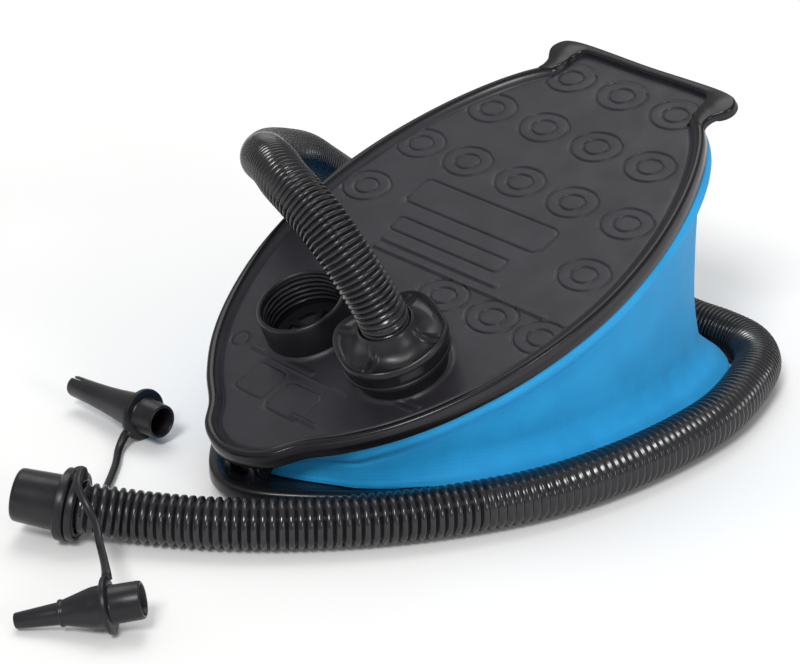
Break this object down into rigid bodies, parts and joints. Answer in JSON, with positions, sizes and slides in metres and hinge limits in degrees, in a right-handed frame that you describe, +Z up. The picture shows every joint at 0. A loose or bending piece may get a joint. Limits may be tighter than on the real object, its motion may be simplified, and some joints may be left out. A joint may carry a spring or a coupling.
{
  "type": "foot air pump",
  "caption": "Foot air pump: leaf-shaped treadle on a fabric bellows and base tray, with an open intake port and a ribbed hose that ends in a connector with tethered nozzles.",
  "frame": {"origin": "centre of the base tray's underside, on the floor", "axes": "+X from the hinged nose to the raised heel, +Z up, the hose passing round the +Y side and coming back along the -Y side"},
  "size_m": [0.4283, 0.2805, 0.1471],
  "materials": {
    "treadle_plastic": "satin moulded black",
    "base_plastic": "satin moulded black",
    "hose_plastic": "glossy ribbed black",
    "fitting_plastic": "satin moulded black",
    "bellows_fabric": "coated woven blue",
    "valve_plastic": "plain off-white",
    "black_rubber": "soft black",
    "spring_steel": "drawn wire"
  },
  "bodies": {
    "base": {"base_tray": "base_plastic", "base_clamp_ring": "base_plastic", "hinge_pin": "spring_steel", "bellows": "bellows_fabric", "lower_spring_seat": "valve_plastic", "return_spring": "spring_steel", "hose_lower": "hose_plastic", "hose_connector": "fitting_plastic", "tether_ring": "fitting_plastic", "slotted_nozzle": "fitting_plastic", "stepped_nozzle": "fitting_plastic", "slotted_nozzle_strap": "fitting_plastic", "stepped_nozzle_strap": "fitting_plastic"},
    "pedal": {"treadle": "treadle_plastic", "treadle_clamp_ring": "treadle_plastic", "upper_spring_seat": "valve_plastic", "intake_socket": "fitting_plastic", "intake_valve_seat": "fitting_plastic", "outlet_socket": "fitting_plastic", "outlet_valve_seat": "fitting_plastic", "hose_upper": "hose_plastic"},
    "intake_flap": {"intake_valve_flap": "black_rubber"},
    "outlet_flap": {"outlet_valve_flap": "black_rubber"},
    "hose_end": {"nut_gasket": "black_rubber", "hose_end_ring": "hose_plastic"},
    "hose_nut": {"hose_nut": "fitting_plastic"}
  },
  "joints": [
    {"name": "treadle_hinge", "type": "hinge", "parent": "base", "child": "pedal", "pos_m": [-0.11934, 0, 0.01846], "axis": [0, 1, 0], "range_deg": [0, 20], "stiffness_Nm_per_rad": 20, "springref_deg": -5.73, "deforming": ["bellows", "return_spring", "hose_upper", "hose_lower"]},
    {"name": "intake_flap_hinge", "type": "hinge", "parent": "pedal", "child": "intake_flap", "pos_m": [-0.07342, 0.024, 0.04662], "axis": [0, 1, 0], "range_deg": [0, 35], "stiffness_Nm_per_rad": 0.004, "springref_deg": -17.19},
    {"name": "outlet_flap_hinge", "type": "hinge", "parent": "pedal", "child": "outlet_flap", "pos_m": [-0.07388, -0.0365, 0.05023], "axis": [0, -1, 0], "range_deg": [0, 20], "stiffness_Nm_per_rad": 0.004, "springref_deg": -17.19},
    {"name": "hose_nut_lift", "type": "slide", "parent": "pedal", "child": "hose_end", "axis": [-0.3939, 0, 0.9191], "range_m": [0, 0.006], "deforming": ["hose_upper"]},
    {"name": "hose_nut_turn", "type": "hinge", "parent": "hose_end", "child": "hose_nut", "pos_m": [-0.06689, -0.0365, 0.07249], "axis": [-0.3939, 0, 0.9191], "range_deg": [0, 720]}
  ],
  "couplings": [
    {"joint": "hose_nut_turn", "follows": "hose_nut_lift", "rad_per_m": 2094}
  ]
}
